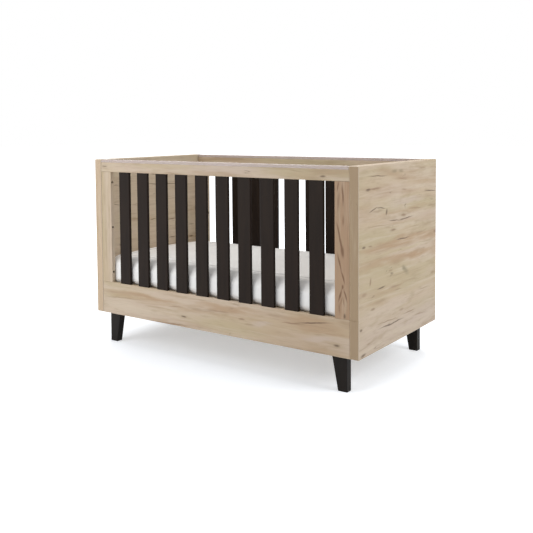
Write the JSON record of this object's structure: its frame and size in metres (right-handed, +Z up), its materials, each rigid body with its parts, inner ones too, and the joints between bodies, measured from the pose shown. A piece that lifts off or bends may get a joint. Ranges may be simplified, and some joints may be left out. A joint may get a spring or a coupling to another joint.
{
  "type": "baby crib",
  "caption": "Baby crib with two plain board ends, slatted front and back sides, a slatted base on pins that sets at several heights, a mattress and four short tapered legs.",
  "frame": {"origin": "on the floor, under the middle of the crib", "axes": "+X along the crib's length towards the right end, +Y from the front side to the back side, +Z up"},
  "size_m": [1.28, 0.66, 0.786],
  "materials": {
    "oak_decor_board": "matte",
    "black_lacquered_beech": "satin",
    "solid_beech": "matte",
    "birch_plywood": "matte",
    "clear_plastic": "gloss",
    "zinc_plated_steel": "satin",
    "mattress_cover": "matte"
  },
  "bodies": {
    "crib": {"end_panel_left": "oak_decor_board", "end_panel_right": "oak_decor_board", "front_top_rail": "oak_decor_board", "front_apron": "oak_decor_board", "front_stile_left": "oak_decor_board", "front_stile_right": "oak_decor_board", "front_slat_01": "black_lacquered_beech", "front_slat_02": "black_lacquered_beech", "front_slat_03": "black_lacquered_beech", "front_slat_04": "black_lacquered_beech", "front_slat_05": "black_lacquered_beech", "front_slat_06": "black_lacquered_beech", "front_slat_07": "black_lacquered_beech", "front_slat_08": "black_lacquered_beech", "front_slat_09": "black_lacquered_beech", "front_slat_10": "black_lacquered_beech", "front_teething_strip": "clear_plastic", "back_top_rail": "oak_decor_board", "back_apron": "oak_decor_board", "back_stile_left": "oak_decor_board", "back_stile_right": "oak_decor_board", "back_slat_01": "black_lacquered_beech", "back_slat_02": "black_lacquered_beech", "back_slat_03": "black_lacquered_beech", "back_slat_04": "black_lacquered_beech", "back_slat_05": "black_lacquered_beech", "back_slat_06": "black_lacquered_beech", "back_slat_07": "black_lacquered_beech", "back_slat_08": "black_lacquered_beech", "back_slat_09": "black_lacquered_beech", "back_slat_10": "black_lacquered_beech", "back_teething_strip": "clear_plastic", "leg_front_left": "black_lacquered_beech", "leg_front_right": "black_lacquered_beech", "leg_back_left": "black_lacquered_beech", "leg_back_right": "black_lacquered_beech", "leg_block_front_left": "solid_beech", "leg_block_front_right": "solid_beech", "leg_block_back_left": "solid_beech", "leg_block_back_right": "solid_beech", "support_pin_front_left": "zinc_plated_steel", "support_pin_front_right": "zinc_plated_steel", "support_pin_back_left": "zinc_plated_steel", "support_pin_back_right": "zinc_plated_steel"},
    "mattress_base": {"base_end_rail_left": "solid_beech", "base_end_rail_right": "solid_beech", "base_long_rail_front": "solid_beech", "base_long_rail_centre": "solid_beech", "base_long_rail_back": "solid_beech", "base_slat_01": "birch_plywood", "base_slat_02": "birch_plywood", "base_slat_03": "birch_plywood", "base_slat_04": "birch_plywood", "base_slat_05": "birch_plywood", "base_slat_06": "birch_plywood", "base_slat_07": "birch_plywood", "base_slat_08": "birch_plywood", "base_slat_09": "birch_plywood", "base_slat_10": "birch_plywood"},
    "mattress": {"mattress": "mattress_cover"}
  },
  "joints": [
    {"name": "base_height", "type": "slide", "parent": "crib", "child": "mattress_base", "axis": [0, 0, 1], "range_m": [0, 0.192]},
    {"name": "mattress_lift", "type": "slide", "parent": "mattress_base", "child": "mattress", "axis": [0, 0, 1], "range_m": [0, 0.54]}
  ]
}
